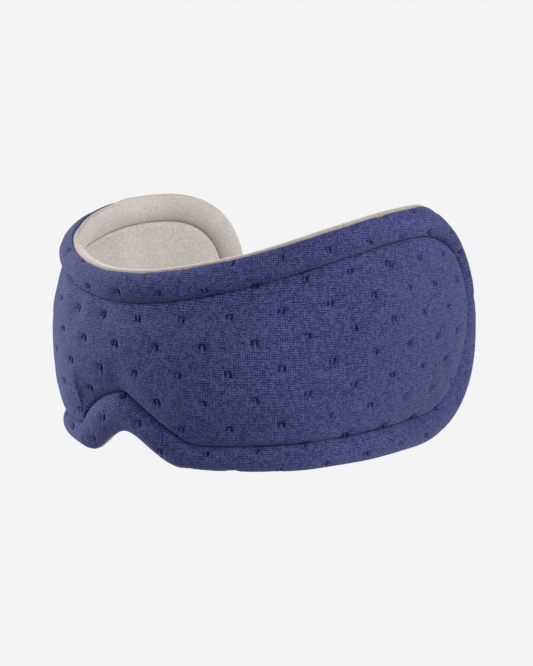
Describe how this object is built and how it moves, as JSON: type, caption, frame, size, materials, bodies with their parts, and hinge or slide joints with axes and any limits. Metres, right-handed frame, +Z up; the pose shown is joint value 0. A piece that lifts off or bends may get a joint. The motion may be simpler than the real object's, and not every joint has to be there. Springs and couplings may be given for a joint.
{
  "type": "sleep eye mask",
  "caption": "Padded wrap-around sleep mask: knit outer cover, suede lining, quilted foam pad with a rolled rim, nose notch and an elastic rear strap with a hook tab.",
  "frame": {"origin": "on the surface that the mask stands on, below the middle of its box", "axes": "+Z up from the bottom edge, +X to the wearer's left, -Y the way the wearer looks"},
  "size_m": [0.1606, 0.1606, 0.0975],
  "materials": {
    "knit_cover": "matte jersey knit",
    "suede_lining": "brushed suede",
    "foam": "matte foam",
    "thread": "spun polyester",
    "elastic": "woven elastic",
    "hook_tape": "matte"
  },
  "bodies": {
    "centre": {"centre_cover": "knit_cover", "centre_lining": "suede_lining", "centre_pad": "foam", "centre_rim": "foam", "centre_quilting": "thread", "centre_edge_stitching": "thread"},
    "left_wing": {"left_cover": "knit_cover", "left_lining": "suede_lining", "left_pad": "foam", "left_rim": "foam", "left_quilting": "thread", "left_edge_stitching": "thread"},
    "right_wing": {"right_cover": "knit_cover", "right_lining": "suede_lining", "right_pad": "foam", "right_rim": "foam", "right_quilting": "thread", "right_edge_stitching": "thread"},
    "strap": {"strap": "elastic", "hook_tab": "hook_tape", "tab_stitching": "thread"}
  },
  "joints": [
    {"name": "left_temple_bend", "type": "hinge", "parent": "centre", "child": "left_wing", "pos_m": [0.06053, -0.05859, 0], "axis": [0, 0, -1], "range_deg": [0, 45], "stiffness_Nm_per_rad": 0.05},
    {"name": "right_temple_bend", "type": "hinge", "parent": "centre", "child": "right_wing", "pos_m": [-0.06053, -0.05859, 0], "axis": [0, 0, 1], "range_deg": [0, 45], "stiffness_Nm_per_rad": 0.05},
    {"name": "strap_swing", "type": "hinge", "parent": "left_wing", "child": "strap", "pos_m": [0.06102, 0.07252, 0], "axis": [0, 0, 1], "range_deg": [0, 60], "stiffness_Nm_per_rad": 0.004}
  ]
}
